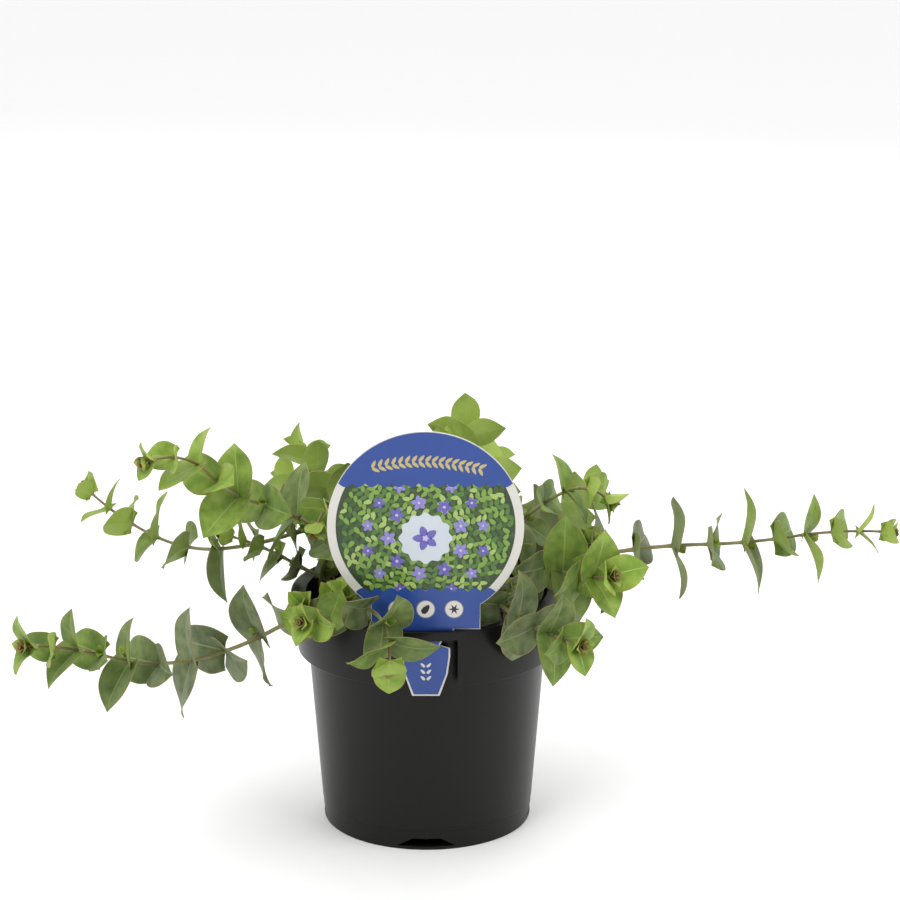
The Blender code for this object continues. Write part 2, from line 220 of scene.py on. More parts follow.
def finish_material(
    name, tone_a, tone_b, rough, scale=60, contrast=1.5, grain=800, depth=0.0001, shine=0.5
):
    """A Principled finish: patches between two tones, whose scale and contrast are given, and a
    fine grain with its own scale and its depth in metres."""
    material = bpy.data.materials.new(name)
    material.use_nodes = True
    tree = material.node_tree
    shader = tree.nodes["Principled BSDF"]
    patches = tree.nodes.new("ShaderNodeGroup")
    patches.node_tree = mottle
    patches.inputs["Tone A"].default_value = tone_a
    patches.inputs["Tone B"].default_value = tone_b
    patches.inputs["Scale"].default_value = scale
    patches.inputs["Contrast"].default_value = contrast
    relief = tree.nodes.new("ShaderNodeGroup")
    relief.node_tree = fine_relief
    relief.inputs["Scale"].default_value = grain
    relief.inputs["Depth"].default_value = depth
    tree.links.new(patches.outputs["Color"], shader.inputs["Base Color"])
    tree.links.new(relief.outputs["Normal"], shader.inputs["Normal"])
    shader.inputs["Roughness"].default_value = rough
    shader.inputs["Specular IOR Level"].default_value = shine
    material.diffuse_color = tone_a
    return material


print("shared effects:", mottle.name, fine_relief.name)


# %% Floor
def mesh_object(name, points, faces, materials, indices=None, smooth=True):
    mesh = bpy.data.meshes.new(name)
    mesh.from_pydata([tuple(point) for point in points], [], [tuple(face) for face in faces])
    for material in materials:
        mesh.materials.append(material)
    if indices is not None:
        mesh.polygons.foreach_set("material_index", list(indices))
    if smooth:
        mesh.shade_smooth()
    thing = bpy.data.objects.new(name, mesh)
    bpy.context.scene.collection.objects.link(thing)
    return thing


FLOOR_HALF = 4
corners = [(-FLOOR_HALF, -FLOOR_HALF, 0), (FLOOR_HALF, -FLOOR_HALF, 0)]
corners += [(FLOOR_HALF, FLOOR_HALF, 0), (-FLOOR_HALF, FLOOR_HALF, 0)]
paper = finish_material("pale_floor", srgb(250, 250, 250), srgb(248, 248, 248), 0.9, depth=0.00001)
floor = mesh_object("floor", corners, [(0, 1, 2, 3)], [paper], smooth=False)

# %% [markdown]
# ## The pot
# A nursery pot is one thin injection moulding: a tapering body under a skirted rim. It is turned
# from a half profile, as in the solids, but with more steps, rounded lips and the faint ring that
# the mould leaves above the foot. The window, the tag's slot and the drain holes are then cut.

# %% Pot sizes
POT_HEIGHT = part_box("pot")[1].z
LIP_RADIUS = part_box("pot")[1].x
BODY_TOP, BODY_FOOT = 65.8 * MM, 55.8 * MM
WALL, BASE = 1.5 * MM, 1.8 * MM
SKIRT_FOOT, SKIRT_FOOT_RADIUS = 95.5 * MM, 69.0 * MM
LEDGE = 1.6 * MM
RING_HEIGHT, RING_STEP = 11 * MM, 0.25 * MM
ROUND = 0.5 * MM
POT_STEPS = 144
WINDOW_TOP, WINDOW_HALF, WINDOW_DROP = 121.8 * MM, 16.4 * MM, 40 * MM
WINDOW_LEAN = math.radians(4.5)
SLOT_HALF, SLOT_FOOT = 17 * MM, POT_HEIGHT - 4 * MM
ABOVE = POT_HEIGHT + 2 * MM
DRAINS = 4
DRAIN_FOOT, DRAIN_TOP, DRAIN_FOOT_HALF, DRAIN_TOP_HALF = 1.9 * MM, 6.5 * MM, 15.5 * MM, 7.5 * MM
FIN_WIDTH, FIN_TOP = 1.2 * MM, 13 * MM


def body_radius(height):
    return BODY_FOOT + (BODY_TOP - BODY_FOOT) * height / POT_HEIGHT


def turned(name, profile, steps, material):
    """A solid of revolution about Z, from points that run down its outer side."""
    mesh = bpy.data.meshes.new(name)
    points = [(radius, 0, height) for radius, height in profile]
    mesh.from_pydata(points, [(i, i + 1) for i in range(len(points) - 1)], [])
    mesh.materials.append(material)
    thing = bpy.data.objects.new(name, mesh)
    bpy.context.scene.collection.objects.link(thing)
    screw = thing.modifiers.new("Turn", "SCREW")
    screw.steps = screw.render_steps = steps
    screw.use_merge_vertices = True
    screw.merge_threshold = 0.00001
    return thing


def prism(name, outline, thickness):
    """A closed prism from an XZ outline, extruded evenly to both sides along Y."""
    front = [(x, -thickness / 2, z) for x, z in outline]
    back = [(x, thickness / 2, z) for x, z in outline]
    count = len(outline)
    faces = [tuple(range(count)), tuple(reversed(range(count, 2 * count)))]
    faces += [(i, count + i, count + (i + 1) % count, (i + 1) % count) for i in range(count)]
    thing = mesh_object(name, front + back, faces, [], smooth=False)
    shape = bmesh.new()
    shape.from_mesh(thing.data)
    bmesh.ops.recalc_face_normals(shape, faces=shape.faces)
    shape.to_mesh(thing.data)
    shape.free()
    return thing


def settle(thing, sharp=35):
    """Applies a piece's modifiers, so that its mesh is final, and smooths its round faces."""
    graph = bpy.context.evaluated_depsgraph_get()
    final = bpy.data.meshes.new_from_object(thing.evaluated_get(graph))
    thing.modifiers.clear()
    thing.data = final
    final.shade_smooth()
    final.set_sharp_from_angle(angle=math.radians(sharp))


# %% Pot shape
def lip_round(radius, height, start, stop, size=ROUND, steps=4):
    """Points round a small edge, by angle in degrees about its centre."""
    turns = [math.radians(start + (stop - start) * i / steps) for i in range(steps + 1)]
    return [(radius + size * math.cos(a), height + size * math.sin(a)) for a in turns]


top = POT_HEIGHT
pot_profile = [(0, BASE), (body_radius(BASE) - WALL, BASE)]
pot_profile += lip_round(body_radius(top) - WALL + ROUND, top - ROUND, 180, 90)
pot_profile += lip_round(LIP_RADIUS - ROUND, top - ROUND, 90, 0)
pot_profile += lip_round(SKIRT_FOOT_RADIUS - ROUND, SKIRT_FOOT + ROUND, 0, -90)
pot_profile += lip_round(SKIRT_FOOT_RADIUS - WALL + ROUND, SKIRT_FOOT + ROUND, -90, -180)
pot_profile += [(LIP_RADIUS - WALL, top - LEDGE), (body_radius(top - LEDGE), top - LEDGE)]
pot_profile += [(body_radius(RING_HEIGHT), RING_HEIGHT + RING_STEP)]
pot_profile += [(body_radius(RING_HEIGHT) - RING_STEP, RING_HEIGHT)]
pot_profile += lip_round(BODY_FOOT - ROUND, ROUND, 0, -90)
pot_profile += [(0, 0)]

plastic = finish_material(
    "pot_plastic", srgb(15, 15, 14), srgb(20, 19, 18), 0.34, scale=14, grain=2600, depth=0.00006, shine=0.22
)
pot = turned("pot_shell", pot_profile, POT_STEPS, plastic)

print("pot profile points:", len(pot_profile))

# %% Pot openings and fins
openings = bpy.data.collections.new("openings")
fins = bpy.data.collections.new("fins")


def put_aside(thing, group):
    """Moves a helper solid out of the scene, into the collection that a Boolean reads."""
    group.objects.link(thing)
    bpy.context.scene.collection.objects.unlink(thing)


def rectangle(half, low, high):
    return [(-half, low), (half, low), (half, high), (-half, high)]


window = prism("window", rectangle(WINDOW_HALF, -WINDOW_DROP, 0), 12 * MM)
window.location = (0, -72.2 * MM, WINDOW_TOP)
window.rotation_euler = (WINDOW_LEAN, 0, 0)
put_aside(window, openings)
slot = prism("slot", rectangle(SLOT_HALF, SLOT_FOOT, ABOVE), 2.8 * MM)
slot.location = (0, -67.8 * MM, 0)
put_aside(slot, openings)
drain_face = [(-DRAIN_FOOT_HALF, DRAIN_FOOT), (DRAIN_FOOT_HALF, DRAIN_FOOT)]
drain_face += [(DRAIN_TOP_HALF, DRAIN_TOP), (-DRAIN_TOP_HALF, DRAIN_TOP)]
edge = body_radius(FIN_TOP) - WALL + 0.5 * MM
blade = [(edge, FIN_TOP), (edge, 7 * MM), (edge - 6.5 * MM, 1.5 * MM), (edge - 8.5 * MM, 1.5 * MM)]
for index in range(DRAINS):
    turn = Matrix.Rotation(math.tau * index / DRAINS, 4, "Z")
    hole = prism(f"drain_{index}", drain_face, 7 * MM)
    hole.data.transform(turn @ Matrix.Translation((0, -54.5 * MM, 0)))
    put_aside(hole, openings)
    fin = prism(f"fin_{index}", blade, FIN_WIDTH)
    fin.data.transform(turn @ Matrix.Rotation(-math.pi / 2, 4, "Z"))
    put_aside(fin, fins)
for name, operation, group in (("Cut", "DIFFERENCE", openings), ("Fins", "UNION", fins)):
    boolean = pot.modifiers.new(name, "BOOLEAN")
    boolean.operation = operation
    boolean.operand_type = "COLLECTION"
    boolean.collection = group
bpy.context.view_layer.update()
settle(pot)
pot.data.materials.clear()
pot.data.materials.append(plastic)
for helper in list(openings.objects) + list(fins.objects):
    bpy.data.objects.remove(helper)
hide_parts("pot")
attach(pot, "root")
print("pot faces:", len(pot.data.polygons))

# %% [markdown]
# ## Potting mix
# The mix is bark, coir and fines. Its body is a turned plug whose top is roughened with noise, and
# loose bark chips lie on it. A chip is a bent, tapered flake, so each gets its own size and tilt.

# %% Potting mix
SOIL_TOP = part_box("potting_soil")[1].z
SOIL_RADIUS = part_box("potting_soil")[1].x
SOIL_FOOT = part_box("potting_soil")[0].z
RINGS, SPOKES = 34, 120
CHIPS, CHIP_ROOM, CROWN_ROOM, CHIP_TILT = 900, 5 * MM, 13 * MM, 0.5


def soil_height(x, y):
    """The rough top of the mix: broad swells and fine crumbs, in millimetres."""
    rough = noise.noise(Vector((x, y, 0)) * 90) * 1.6 + noise.noise(Vector((x, y, 5)) * 320) * 0.8
    return SOIL_TOP + (rough - 0.9) * MM


def soil_body():
    points = [(0, 0, soil_height(0, 0))]
    for ring in range(1, RINGS + 1):
        radius = SOIL_RADIUS * ring / RINGS
        for spoke in range(SPOKES):
            turn = math.tau * spoke / SPOKES
            x, y = radius * math.cos(turn), radius * math.sin(turn)
            points.append((x, y, soil_height(x, y)))
    foot_radius = body_radius(SOIL_FOOT) - WALL - 10 * MM
    for radius, height in ((SOIL_RADIUS - 7.6 * MM, 16 * MM), (foot_radius, SOIL_FOOT)):
        for spoke in range(SPOKES):
            turn = math.tau * spoke / SPOKES
            points.append((radius * math.cos(turn), radius * math.sin(turn), height))
    points.append((0, 0, SOIL_FOOT))
    faces = [(0, 1 + i, 1 + (i + 1) % SPOKES) for i in range(SPOKES)]
    for ring in range(RINGS + 1):
        low, high = 1 + ring * SPOKES, 1 + (ring + 1) * SPOKES
        for i in range(SPOKES):
            j = (i + 1) % SPOKES
            faces.append((low + i, high + i, high + j, low + j))
    last = 1 + (RINGS + 1) * SPOKES
    faces += [(last + i, len(points) - 1, last + (i + 1) % SPOKES) for i in range(SPOKES)]
    return points, faces


def chip(draw):
    """Corners and faces of one bark flake about its own middle."""
    length = draw.uniform(2.5, 8) * MM
    width, thick = draw.uniform(1.2, 3.4) * MM, draw.uniform(0.4, 1.3) * MM
    points = []
    for along in (-0.5, 0.0, 0.5):
        for across, lift in ((-0.5, -0.5), (0.5, -0.5), (0.5, 0.5), (-0.5, 0.5)):
            taper = 1 - 0.5 * abs(along) * draw.uniform(0.4, 1.6)
            bend = 0.12 * length * along * along
            points.append((length * along, width * across * taper, thick * lift * taper + bend))
    faces = [(0, 1, 2, 3), (11, 10, 9, 8)]
    for start in (0, 4):
        for i in range(4):
            j = (i + 1) % 4
            faces.append((start + i, start + 4 + i, start + 4 + j, start + j))
    return points, faces


def scatter_chips():
    draw = random.Random(41)
    points, faces, tones = [], [], []
    for _ in range(CHIPS):
        radius = (SOIL_RADIUS - CHIP_ROOM) * math.sqrt(draw.random())
        turn = draw.uniform(0, math.tau)
        if radius < CROWN_ROOM:
            continue
        x, y = radius * math.cos(turn), radius * math.sin(turn)
        place = Matrix.Translation((x, y, soil_height(x, y) + 0.4 * MM))
        place = place @ Matrix.Rotation(draw.uniform(0, math.tau), 4, "Z")
        for axis in "XY":
            place = place @ Matrix.Rotation(draw.uniform(-CHIP_TILT, CHIP_TILT), 4, axis)
        flake, sides = chip(draw)
        base = len(points)
        points += [place @ Vector(point) for point in flake]
        faces += [tuple(base + i for i in side) for side in sides]
        tones += [draw.choice((0, 0, 0, 1, 1, 2))] * len(sides)
    return points, faces, tones


soil_tones = [
    finish_material("mix_dark", srgb(46, 34, 26), srgb(28, 20, 15), 0.95, 250, 2.5, 900, 0.0006),
    finish_material("bark_chip", srgb(84, 58, 40), srgb(56, 38, 26), 0.9, 300, 2.0, 900, 0.0005),
    finish_material("pale_chip", srgb(128, 98, 68), srgb(96, 70, 48), 0.9, 300, 2.0, 900, 0.0005),
]
soil_points, soil_faces = soil_body()
soil = mesh_object("potting_mix", soil_points, soil_faces, soil_tones[:1])
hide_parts("potting_soil")
chip_points, chip_faces, chip_tones = scatter_chips()
chips = mesh_object("bark_chips", chip_points, chip_faces, soil_tones, chip_tones, smooth=False)
for piece in (soil, chips):
    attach(piece, "root")
print("soil faces:", len(soil.data.polygons), "chip faces:", len(chips.data.polygons))

# %% [markdown]
# ## How the shoots grow
# Each shoot is a short list of growth facts: how long it is, where it heads and climbs at even
# steps, and how many leaf pairs it has. The same walk as in the solids turns them into a route.
# Each pair of leaves is turned a quarter from the last, which gives the four ranks of this plant.

# %% Growth rule
CROWN_CENTRE, CROWN_RADIUS, GAP = 114 * MM, 9 * MM, 0.3 * MM
BOUGH_RADIUS, STEM_RADIUS, TIP_RADIUS = 1.4 * MM, 1.2 * MM, 0.6 * MM
ROUTE_STEP, FIRST_PAIR, LAST_PAIR, CROWDING = 1.5 * MM, 5 * MM, 2.5 * MM, 0.3
LEAF_TRIES = ((0, 1), (14, 1), (-14, 1), (0, 0.8), (28, 0.85), (-28, 0.85), (0, 0.62), (40, 0.62))
Shoot = collections.namedtuple("Shoot", "name length headings climbs bare pairs roll leaf tip")
SHOOTS = (
    Shoot("left_low", 242, (-132, -147, -145, -139), (26, 5, -17, 1, 26, 12), 0.32, 10, 0, 31, 17),
    Shoot("right_long", 242, (8, -7, -9, -8), (40, 7, 12, 4, 12, -1), 0.34, 10, 90, 31, 14),
    Shoot("left_high", 182, (190, 193, 223, 209), (40, 45, 31, 23, 49, -12), 0.3, 8, 0, 31, 13),
    Shoot("left_mid", 202, (150, 187, 164, 171), (20, 55, -19, -8, 24, 43), 0.36, 8, 90, 28, 15),
    Shoot("left_short", 105, (172, 174, 174, 174), (10, 21, 29, 14), 0.42, 6, 90, 25, 11),
    Shoot("top_left", 120, (143, 138, 132, 121), (56, 34, 19, 34), 0.4, 6, 0, 27, 14),
    Shoot("inner_left", 95, (-142, -150, -160, -121), (50, 48, 60, 47, -75), 0.5, 4, 0, 23, 12),
    Shoot("front_mid", 127, (-110, -157, -32, -99), (34, 0, 7, 30, -32, -50), 0.66, 4, 0, 27, 20),
    Shoot("front_left", 109, (-100, -136, -125, -124), (6, 24, 6, 15), 0.52, 5, 90, 27, 14),
    Shoot("front_right", 128, (-52, -56, -56, -53), (30, 22, -13, 1, 3), 0.44, 6, 0, 28, 19),
    Shoot("right_mid", 118, (-14, -19, -53, -44), (18, 53, 2, 4, 16), 0.42, 6, 90, 30, 24),
    Shoot("right_top", 124, (54, 11, -22, -17), (12, 38, 50, 42, 29, -42), 0.5, 5, 90, 24, 16),
    Shoot("top_back", 107, (58, 72, 72, 92), (62, 59, 33, 36), 0.5, 5, 90, 25, 20),
    Shoot("back_long", 215, (80, 82, 78, 80), (20, 20, -8, -4, 12), 0.34, 9, 0, 30, 15),
    Shoot("back_trail", 190, (103, 98, 102, 99), (20, 24, -16, -6, 18), 0.38, 8, 90, 29, 14),
    Shoot("back_right", 135, (30, 46, 55, 58), (26, 14, 10, 22), 0.4, 6, 0, 28, 15),
    Shoot("back_left", 145, (127, 124, 120, 126), (16, 20, 6, 20), 0.4, 7, 90, 28, 14),
    Shoot("back_up", 95, (110, 100, 60, 80), (82, 60, 40, 20), 0.42, 5, 0, 26, 14),
)


def between(values, share):
    place = min(max(share, 0), 1) * (len(values) - 1)
    low = min(int(place), len(values) - 2)
    return values[low] + (values[low + 1] - values[low]) * (place - low)


def heading_vector(heading, climb):
    heading, climb = math.radians(heading), math.radians(climb)
    flat = math.cos(climb)
    return Vector((math.cos(heading) * flat, math.sin(heading) * flat, math.sin(climb)))


def shoot_route(shoot):
    steps = round(shoot.length * MM / ROUTE_STEP)
    start = heading_vector(shoot.headings[0], shoot.climbs[0]) * (CROWN_RADIUS + GAP)
    route = [Vector((0, 0, CROWN_CENTRE)) + start]
    for index in range(steps):
        share = (index + 0.5) / steps
        step = heading_vector(between(shoot.headings, share), between(shoot.climbs, share))
        route.append(route[-1] + step * (shoot.length * MM / steps))
    return route


def place_on(route, share):
    place = min(max(share, 0), 1) * (len(route) - 1)
    low = min(int(place), len(route) - 2)
    step = route[low + 1] - route[low]
    return route[low] + step * (place - low), step.normalized()


def pair_shares(shoot):
    first = shoot.bare + FIRST_PAIR / (shoot.length * MM)
    last = 1 - LAST_PAIR / (shoot.length * MM)
    for index in range(shoot.pairs):
        along = index / (shoot.pairs - 1)
        yield index, along, first + (last - first) * along * (1 + CROWDING * (1 - along))


routes = {shoot.name: shoot_route(shoot) for shoot in SHOOTS}
print("shoots:", len(routes), "pairs:", sum(shoot.pairs for shoot in SHOOTS))

# %% [markdown]
# ## Crown and stems
# Old wood at the crown is furrowed, and the stems are smooth, with a slight ring where each leaf
# pair joins. The crown is a dome, and the stems are round tubes swept along the routes. Both have
# their relief made by moving points in and out, so that the meshes themselves hold it.

# %% Crown
CROWN_RINGS, CROWN_SPOKES = 26, 72
TRUNK_SHARE, CROWN_FLARE = 0.3, 2.5 * MM


def crown_mesh():
    points, faces = [], []
    foot = SOIL_TOP - 0.8 * MM
    for ring in range(CROWN_RINGS):
        share = ring / (CROWN_RINGS - 1)
        if share < TRUNK_SHARE:
            height = foot + (CROWN_CENTRE - foot) * share / TRUNK_SHARE
            radius = CROWN_RADIUS + CROWN_FLARE * (1 - share / TRUNK_SHARE) ** 2
        else:
            lift = math.pi / 2 * (share - TRUNK_SHARE) / (1 - TRUNK_SHARE)
            height = CROWN_CENTRE + CROWN_RADIUS * math.sin(lift)
            radius = max(CROWN_RADIUS * math.cos(lift), 0.02 * MM)
        for spoke in range(CROWN_SPOKES):
            turn = math.tau * spoke / CROWN_SPOKES
            x, y = math.cos(turn), math.sin(turn)
            furrow = noise.noise(Vector((x * 5, y * 5, height * 160)))
            ridge = radius * (0.94 + 0.07 * furrow)
            points.append((x * ridge, y * ridge, height + 0.3 * MM * furrow))
    for ring in range(CROWN_RINGS - 1):
        low, high = ring * CROWN_SPOKES, (ring + 1) * CROWN_SPOKES
        for i in range(CROWN_SPOKES):
            j = (i + 1) % CROWN_SPOKES
            faces.append((low + i, low + j, high + j, high + i))
    faces.append(tuple(range(CROWN_SPOKES - 1, -1, -1)))
    faces.append(tuple(range(len(points) - CROWN_SPOKES, len(points))))
    return points, faces


old_bark = finish_material("crown_bark", srgb(118, 92, 66), srgb(74, 54, 38), 0.88, 260, 2.4, 700, 0.0006)
crown = mesh_object("crown_bark", *crown_mesh(), [old_bark])
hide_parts("crown")
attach(crown, "root")


# %% Stems
STEM_SIDES, STEM_STEP = 10, 1.4 * MM
SWELL_REACH, SWELL = 1.3 * MM, 0.32


class Pile:
    """Gathers points and faces of many small shapes into one mesh."""

    def __init__(self):
        self.points, self.faces, self.tones = [], [], []

    def add(self, points, faces, tones):
        base = len(self.points)
        self.points += [tuple(point) for point in points]
        self.faces += [tuple(base + i for i in face) for face in faces]
        self.tones += list(tones)

    def piece(self, name, materials):
        return mesh_object(name, self.points, self.faces, materials, self.tones)


def tube(route, first, last, radii, nodes_at, length):
    """A round tube with a raised ring at each node, and slight ridges along it."""
    count = max(3, round(length * (last - first) / STEM_STEP))
    points, faces = [], []
    for index in range(count + 1):
        along = index / count
        share = first + (last - first) * along
        spot, direction = place_on(route, share)
        side = direction.cross(Vector((0, 0, 1))).normalized()
        upright = side.cross(direction)
        radius = radii[0] + (radii[1] - radii[0]) * along
        swell = sum(math.exp(-(((share - at) * length / SWELL_REACH) ** 2)) for at in nodes_at)
        radius *= 1 + SWELL * min(swell, 1)
        for spoke in range(STEM_SIDES):
            turn = math.tau * spoke / STEM_SIDES
            ridge = radius * (1 + 0.05 * noise.noise(spot * 700 + Vector((spoke, 0, 0))))
            points.append(spot + (side * math.cos(turn) + upright * math.sin(turn)) * ridge)
    for ring in range(count):
        low, high = ring * STEM_SIDES, (ring + 1) * STEM_SIDES
        for i in range(STEM_SIDES):
            j = (i + 1) % STEM_SIDES
            faces.append((low + i, high + i, high + j, low + j))
    faces.append(tuple(range(STEM_SIDES)))
    faces.append(tuple(range(len(points) - 1, len(points) - 1 - STEM_SIDES, -1)))
    return points, faces


bough_pile, stem_pile, tip_pile = Pile(), Pile(), Pile()
YOUNG_FROM = 0.72
for shoot in SHOOTS:
    route, length = routes[shoot.name], shoot.length * MM
    at = [share for _, _, share in pair_shares(shoot)]
    turn_young = shoot.bare + (1 - shoot.bare) * YOUNG_FROM
    middle = STEM_RADIUS + (TIP_RADIUS - STEM_RADIUS) * YOUNG_FROM
    spans = (
        (bough_pile, 0, shoot.bare + 0.004, (BOUGH_RADIUS, STEM_RADIUS)),
        (stem_pile, shoot.bare, turn_young, (STEM_RADIUS, middle)),
        (tip_pile, turn_young, 1, (middle, TIP_RADIUS)),
    )
    for pile, first, last, radii in spans:
        points, faces = tube(route, first, last, radii, at, length)
        pile.add(points, faces, [0] * len(faces))

bough_skin = finish_material("bough_skin", srgb(142, 128, 88), srgb(112, 94, 62), 0.7, 220, 2.0, 900, 0.0002)
stem_skin = finish_material("stem_skin", srgb(150, 150, 102), srgb(128, 120, 78), 0.6, 180, 1.6, 900, 0.0001)
tip_skin = finish_material("tip_skin", srgb(150, 112, 92), srgb(128, 122, 78), 0.55, 120, 2.2, 900, 0.0001)
boughs = bough_pile.piece("boughs", [bough_skin])
stems = stem_pile.piece("stems", [stem_skin])
tips = tip_pile.piece("young_stems", [tip_skin])
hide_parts(*[f"bough_{shoot.name}" for shoot in SHOOTS])
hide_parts(*[f"foliage_{shoot.name}" for shoot in SHOOTS])
for piece, slot_name in ((boughs, "bough_bark"), (stems, "leaf_green"), (tips, "leaf_green")):
    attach(piece, "root")
    print(piece.name, "faces:", len(piece.data.polygons))

# %% [markdown]
# ## Leaves
# A leaf is broad, clasps the stem at its foot and ends in a soft point. It is a grid with an upper
# and a lower skin, a pale midrib down the middle and a thin red-brown line on its margin. A real
# mesh holds the fold, the droop and the soft relief between the side veins. Colour goes by age: old
# leaves are dull grey-green, and the youngest are bright yellow-green.

# %% One leaf
LEAF_WIDTH, LEAF_THICK = 0.84, 0.34 * MM
UPPER, UNDER, RIB, MARGIN = range(4)
SHOULDER_AT, FOOT_SHARE, MEAN_TIP = 0.36, 0.66, 0.012


def both_sides(*shares):
    """Column places across a leaf, from the shares given for one half."""
    return tuple(-share for share in reversed(shares)) + shares


FULL_GRID = (20, both_sides(0.032, 0.14, 0.34, 0.6, 0.82, 0.96, 1))
SMALL_GRID = (10, both_sides(0.06, 0.5, 0.93, 1))


def outline_share(along):
    """Half width at a share of the length: clasping foot, broad shoulder, short soft point."""
    if along < SHOULDER_AT:
        return FOOT_SHARE + (1 - FOOT_SHARE) * math.sin(math.pi / 2 * along / SHOULDER_AT)
    rest = (along - SHOULDER_AT) / (1 - SHOULDER_AT)
    return max(MEAN_TIP, (1 - rest**2.5) * (1 - 0.22 * rest**5))


def leaf_grid(length, droop, cup, bends, grid=FULL_GRID):
    """Points and faces of one leaf along +X that faces +Z; bends are wave, sway and curl."""
    wave, sway, curl = bends
    stations, columns = grid
    points = []
    for level in (0, 1):
        for row in range(stations + 1):
            along = row / stations
            half = length * LEAF_WIDTH / 2 * outline_share(along)
            turn = curl * along
            for column in columns:
                y = half * column
                side = abs(column)
                lift = -length * (droop * along**2 + 0.1 * along**5)
                lift += (cup + 0.12) * abs(y) * (1 - 0.6 * along)
                vein = math.sin(math.tau * (along * 4.6 - side * 0.9)) * side * (1 - side)
                ripple = wave * math.sin(8 * along + 3 * wave) * column * side
                lift += length * (0.014 * vein + 0.035 * ripple) - level * LEAF_THICK
                x = length * along - 0.11 * length * side**2 * (1 - along) ** 3
                y += sway * length * along**2
                cos, sin = math.cos(turn), math.sin(turn)
                points.append((x, y * cos - lift * sin, y * sin + lift * cos))
    wide, high = len(columns), stations + 1
    faces, tones = [], []
    for row in range(stations):
        for column in range(wide - 1):
            a = row * wide + column
            quad = (a, a + wide, a + wide + 1, a + 1)
            under = tuple(i + wide * high for i in reversed(quad))
            edge = column in (0, wide - 2)
            middle = column == (wide - 2) // 2
            faces += [quad, under]
            tones += [MARGIN if edge else RIB if middle else UPPER, RIB if middle else UNDER]
    low = wide * high
    for row in range(stations):
        for column in (0, wide - 1):
            a, b = row * wide + column, (row + 1) * wide + column
            faces.append((a, low + a, low + b, b) if column == 0 else (a, b, low + b, low + a))
            tones.append(MARGIN)
    for row in (0, stations):
        for column in range(wide - 1):
            a, b = row * wide + column, row * wide + column + 1
            faces.append((a, b, low + b, low + a) if row == 0 else (b, a, low + a, low + b))
            tones.append(MARGIN)
    return points, faces, tones


def leaf_place(spot, along, roll, lean, twist):
    """Puts a leaf's foot at a spot, turned by roll round the stem and leant towards its tip."""
    side = along.cross(Vector((0, 0, 1))).normalized()
    upright = side.cross(along)
    outward = side * math.cos(roll) + upright * math.sin(roll)
    axis = outward * math.cos(lean) + along * math.sin(lean)
    face = along * math.cos(lean) - outward * math.sin(lean)
    across = face.cross(axis)
    turn = Matrix((axis, across, face)).transposed().to_4x4()
    return Matrix.Translation(spot) @ turn @ Matrix.Rotation(twist, 4, "X")


# %% Leaf finishes
def leaf_finish(name, bright, deep, under):
    """The four finishes of one age of leaf: upper skin, lower skin, midrib and margin."""
    rib = tuple(0.7 * a + 0.3 * b for a, b in zip(bright, srgb(196, 206, 150)))
    return [
        finish_material(f"{name}_upper", bright, deep, 0.5, 130, 3.2, 1400, 0.00014, 0.3),
        finish_material(f"{name}_under", under, bright, 0.6, 130, 2.0, 1400, 0.00014, 0.2),
        finish_material(f"{name}_rib", rib, bright, 0.5, 90, 1.2, 1400, 0.00008, 0.3),
        finish_material(f"{name}_margin", srgb(142, 112, 70), bright, 0.5, 200, 1.6, 1400, 0.00005, 0.3),
    ]


AGES = {
    "old": leaf_finish("old_leaf", srgb(120, 132, 88), srgb(80, 96, 54), srgb(138, 150, 108)),
    "dusky": leaf_finish("dusky_leaf", srgb(120, 138, 74), srgb(82, 102, 46), srgb(142, 156, 100)),
    "mid": leaf_finish("mid_leaf", srgb(126, 150, 66), srgb(88, 114, 42), srgb(148, 164, 96)),
    "fresh": leaf_finish("fresh_leaf", srgb(142, 166, 72), srgb(102, 130, 46), srgb(156, 176, 98)),
    "young": leaf_finish("young_leaf", srgb(154, 176, 76), srgb(118, 150, 52), srgb(164, 186, 98)),
    "bud": leaf_finish("bud_leaf", srgb(138, 116, 66), srgb(126, 142, 62), srgb(150, 104, 74)),
}


# %% Place the leaves
def tree_of(thing):
    data = thing.data
    faces = [list(face.vertices) for face in data.polygons]
    return BVHTree.FromPolygons([vertex.co for vertex in data.vertices], faces)


FRESH = {"left_high": 0.3, "top_left": 0.34, "left_mid": 0.16, "inner_left": 0.2, "top_back": 0.42}
FRESH |= {"right_top": 0.36, "back_up": 0.25, "left_low": -0.22, "front_mid": -0.2, "front_right": -0.2}
AGE_STEPS = ((0.2, "old"), (0.42, "dusky"), (0.66, "mid"), (0.88, "fresh"))


def age_of(shoot, along, draw):
    """Leaves are younger towards the tip, and younger all along on the fresher shoots."""
    ripe = along + FRESH.get(shoot.name, 0) + draw.uniform(-0.14, 0.14)
    return next((age for limit, age in AGE_STEPS if ripe < limit), "young")


